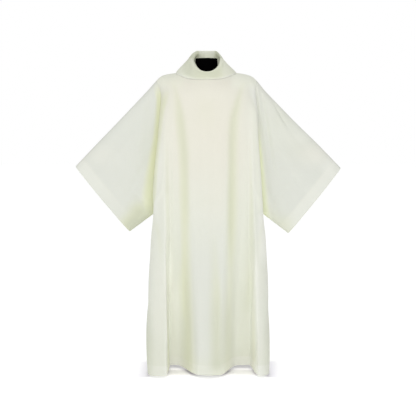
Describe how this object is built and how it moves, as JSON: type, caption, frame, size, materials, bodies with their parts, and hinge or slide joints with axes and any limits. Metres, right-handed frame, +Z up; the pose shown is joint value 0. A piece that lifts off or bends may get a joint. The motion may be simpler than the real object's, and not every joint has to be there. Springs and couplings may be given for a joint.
{
  "type": "alb on dress form",
  "caption": "Long ivory alb with wide straight sleeves and a folded cowl collar, filled out on a limbless black dress form with a round base.",
  "frame": {"origin": "on the floor, at the centre of the round base under the dress form", "axes": "+Z up, the front of the alb faces -Y, +X to the right as seen from the front"},
  "size_m": [1.2777, 0.3946, 1.5363],
  "materials": {
    "ivory_cloth": "smooth fine plain weave, matte with a slight sheen",
    "form_cover": "black jersey",
    "pole_steel": "satin",
    "base_paint": "matte black"
  },
  "bodies": {
    "root": {"front": "ivory_cloth", "back": "ivory_cloth", "sleeve_left": "ivory_cloth", "sleeve_right": "ivory_cloth", "collar": "ivory_cloth", "form_torso": "form_cover", "stand_pole": "pole_steel", "stand_base": "base_paint"}
  },
  "joints": []
}
